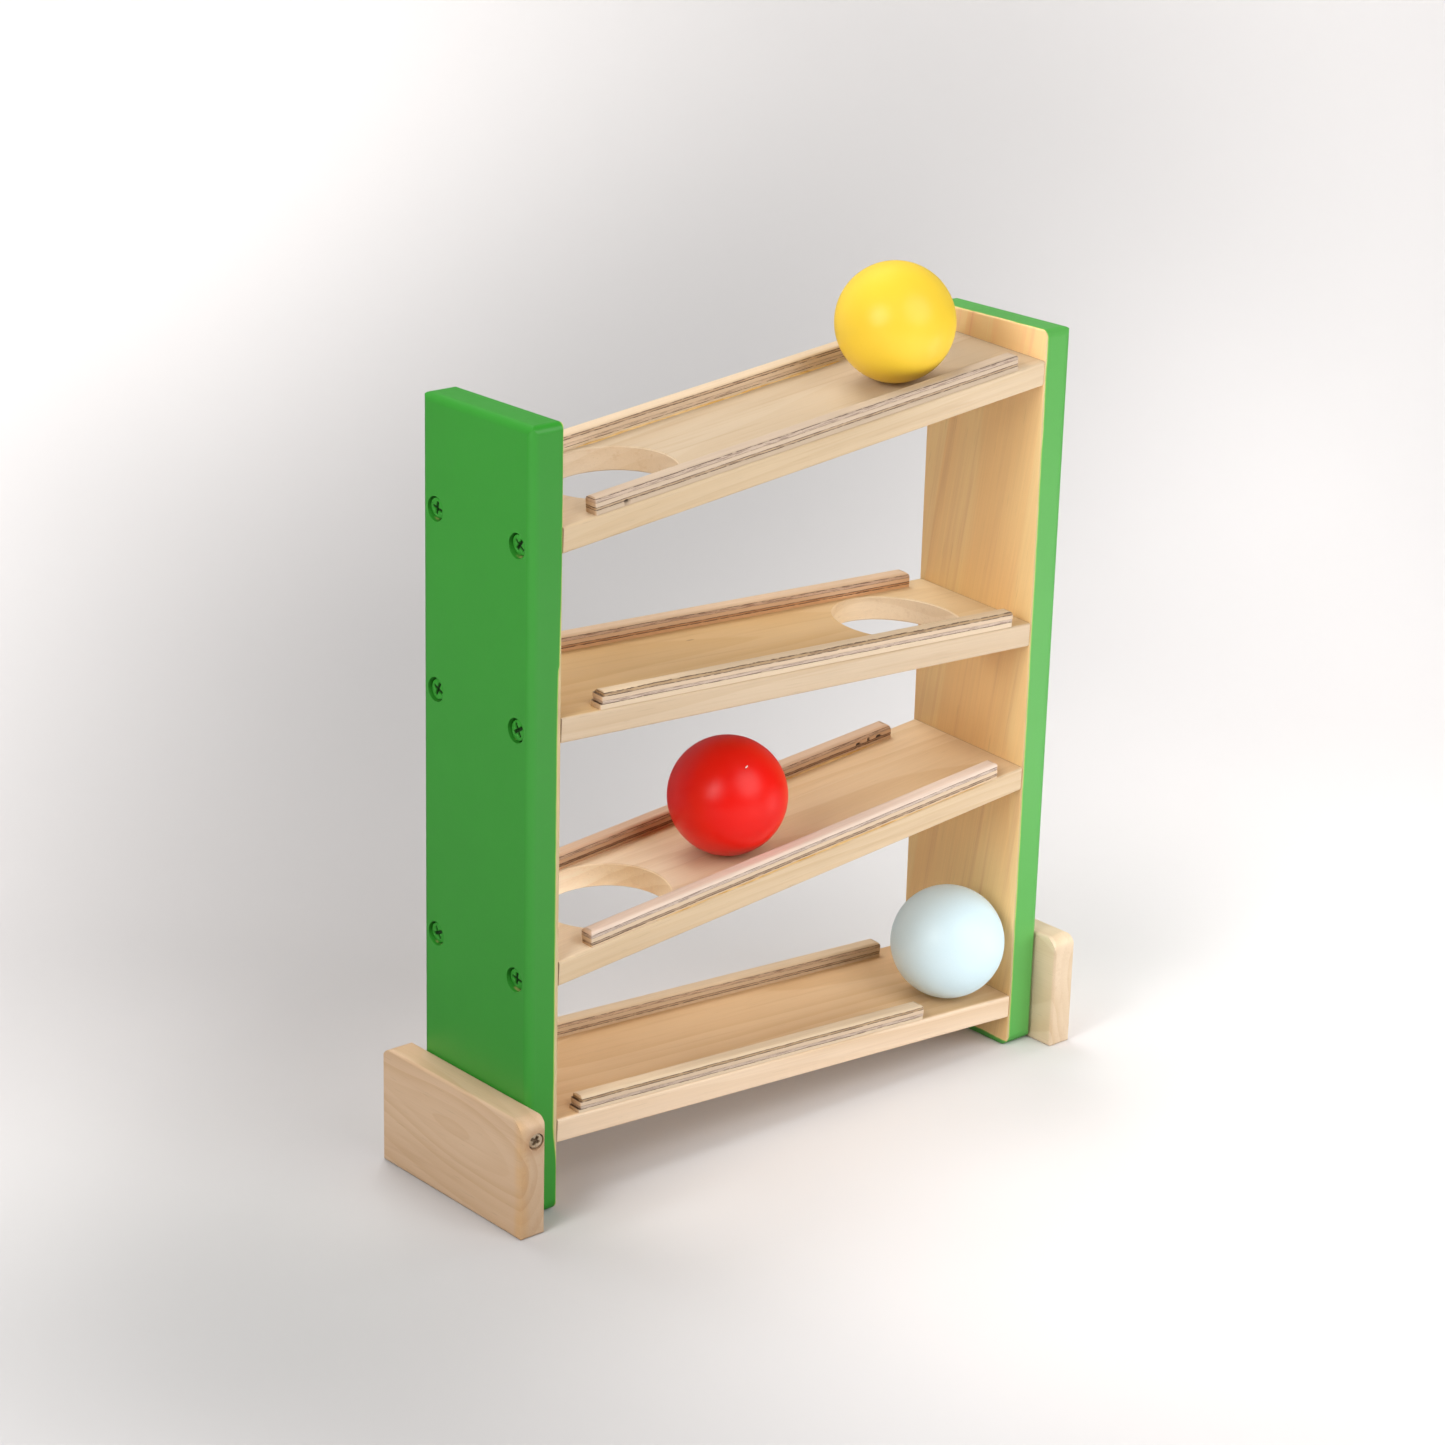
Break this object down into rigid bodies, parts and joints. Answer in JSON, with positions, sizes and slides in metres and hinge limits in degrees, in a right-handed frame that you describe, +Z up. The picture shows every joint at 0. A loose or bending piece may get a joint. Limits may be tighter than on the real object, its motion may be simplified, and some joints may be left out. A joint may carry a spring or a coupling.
{
  "type": "wooden ball run",
  "caption": "Free-standing wooden ball run: sloping ramps with drop holes and plywood guard rails between painted side boards on feet, with painted balls that roll down.",
  "frame": {"origin": "on the ground, midway between the side boards and midway between front and back", "axes": "+X to the right along the ramps, +Y to the back, +Z up"},
  "size_m": [0.279, 0.083, 0.3218],
  "materials": {
    "green_painted_wood": "satin green paint on the outside, bare varnished wood inside",
    "ramp_wood": "smooth clear-finished pale wood",
    "rail_plywood": "plywood with its plies showing",
    "foot_wood": "smooth clear-finished pale wood",
    "painted_screws": "cross-head screws painted over",
    "steel_screws": "bare steel cross-head screws",
    "yellow_paint": "satin paint on wood",
    "red_paint": "satin paint on wood",
    "light_blue_paint": "satin paint on wood"
  },
  "bodies": {
    "frame": {"left_side_board": "green_painted_wood", "right_side_board": "green_painted_wood", "ramp_1": "ramp_wood", "ramp_2": "ramp_wood", "ramp_3": "ramp_wood", "ramp_4": "ramp_wood", "ramp_1_front_rail": "rail_plywood", "ramp_1_back_rail": "rail_plywood", "ramp_2_front_rail": "rail_plywood", "ramp_2_back_rail": "rail_plywood", "ramp_3_front_rail": "rail_plywood", "ramp_3_back_rail": "rail_plywood", "ramp_4_front_rail": "rail_plywood", "ramp_4_back_rail": "rail_plywood", "left_foot": "foot_wood", "right_foot": "foot_wood", "left_side_screws": "painted_screws", "right_side_screws": "painted_screws", "foot_screws": "steel_screws"},
    "yellow_ball": {"yellow_ball": "yellow_paint"},
    "red_ball": {"red_ball": "red_paint"},
    "light_blue_ball": {"light_blue_ball": "light_blue_paint"}
  },
  "joints": [
    {"name": "yellow_ball_roll", "type": "slide", "parent": "frame", "child": "yellow_ball", "axis": [-0.9941, 0, -0.1081], "range_m": [-0.033, 0.109]},
    {"name": "red_ball_roll", "type": "slide", "parent": "frame", "child": "red_ball", "axis": [-0.9955, 0, -0.0952], "range_m": [-0.109, 0.032]},
    {"name": "light_blue_ball_roll", "type": "slide", "parent": "frame", "child": "light_blue_ball", "axis": [0.9369, -0.3416, -0.0738], "range_m": [-0.071, 0]}
  ]
}
